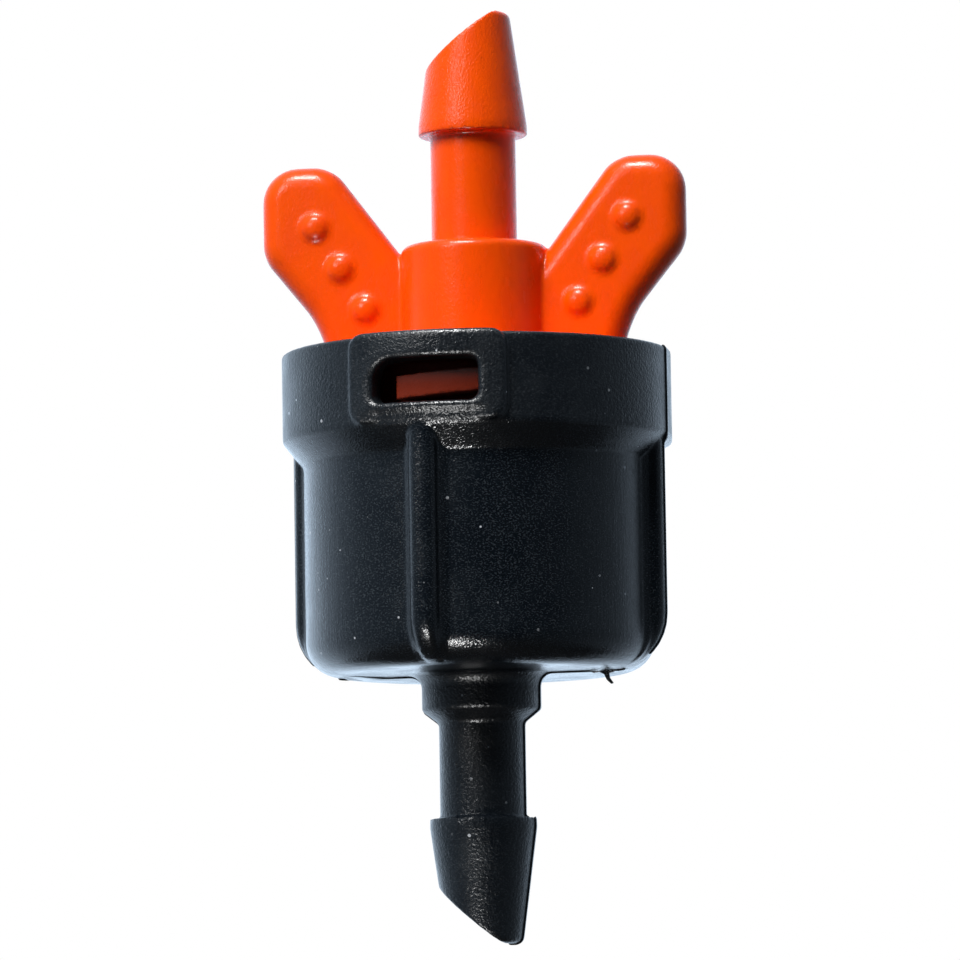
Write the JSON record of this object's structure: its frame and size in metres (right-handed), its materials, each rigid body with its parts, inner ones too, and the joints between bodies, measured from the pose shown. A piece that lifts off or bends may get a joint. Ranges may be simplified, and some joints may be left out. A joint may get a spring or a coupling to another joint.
{
  "type": "drip emitter",
  "caption": "In-line anti-drip emitter: a winged cap with a hose barb locks by a bayonet into a ribbed round housing with an outlet barb, over a sprung diaphragm valve.",
  "frame": {"origin": "on the flow axis, in the plane of the outlet barb's lip", "axes": "+Z along the flow axis towards the inlet barb, the two collar windows facing -Y and +Y, the two wings along +X and -X (turned 5.5 degrees about +Z when the cap is locked)"},
  "size_m": [0.022, 0.0208, 0.048],
  "materials": {
    "black_plastic": "satin moulded",
    "orange_plastic": "satin gloss moulded",
    "natural_acetal": "satin moulded",
    "grey_rubber": "matte",
    "red_silicone": "matte",
    "spring_steel": "drawn wire"
  },
  "bodies": {
    "housing": {"housing": "black_plastic", "diaphragm": "red_silicone", "return_spring": "spring_steel"},
    "cap": {"cap": "orange_plastic", "seat_insert": "natural_acetal", "seat_seal": "grey_rubber"},
    "piston": {"piston": "natural_acetal", "clamp_ring": "natural_acetal", "piston_o_ring": "grey_rubber"}
  },
  "joints": [
    {"name": "cap_twist", "type": "hinge", "parent": "housing", "child": "cap", "pos_m": [0, 0, 0.0215], "axis": [0, 0, 1], "range_deg": [0, 65]},
    {"name": "piston_stroke", "type": "slide", "parent": "housing", "child": "piston", "axis": [0, 0, 1], "range_m": [-0.0012, 0], "stiffness_N_per_m": 1240, "springref_m": 0.0044, "deforming": ["return_spring", "diaphragm"]}
  ]
}
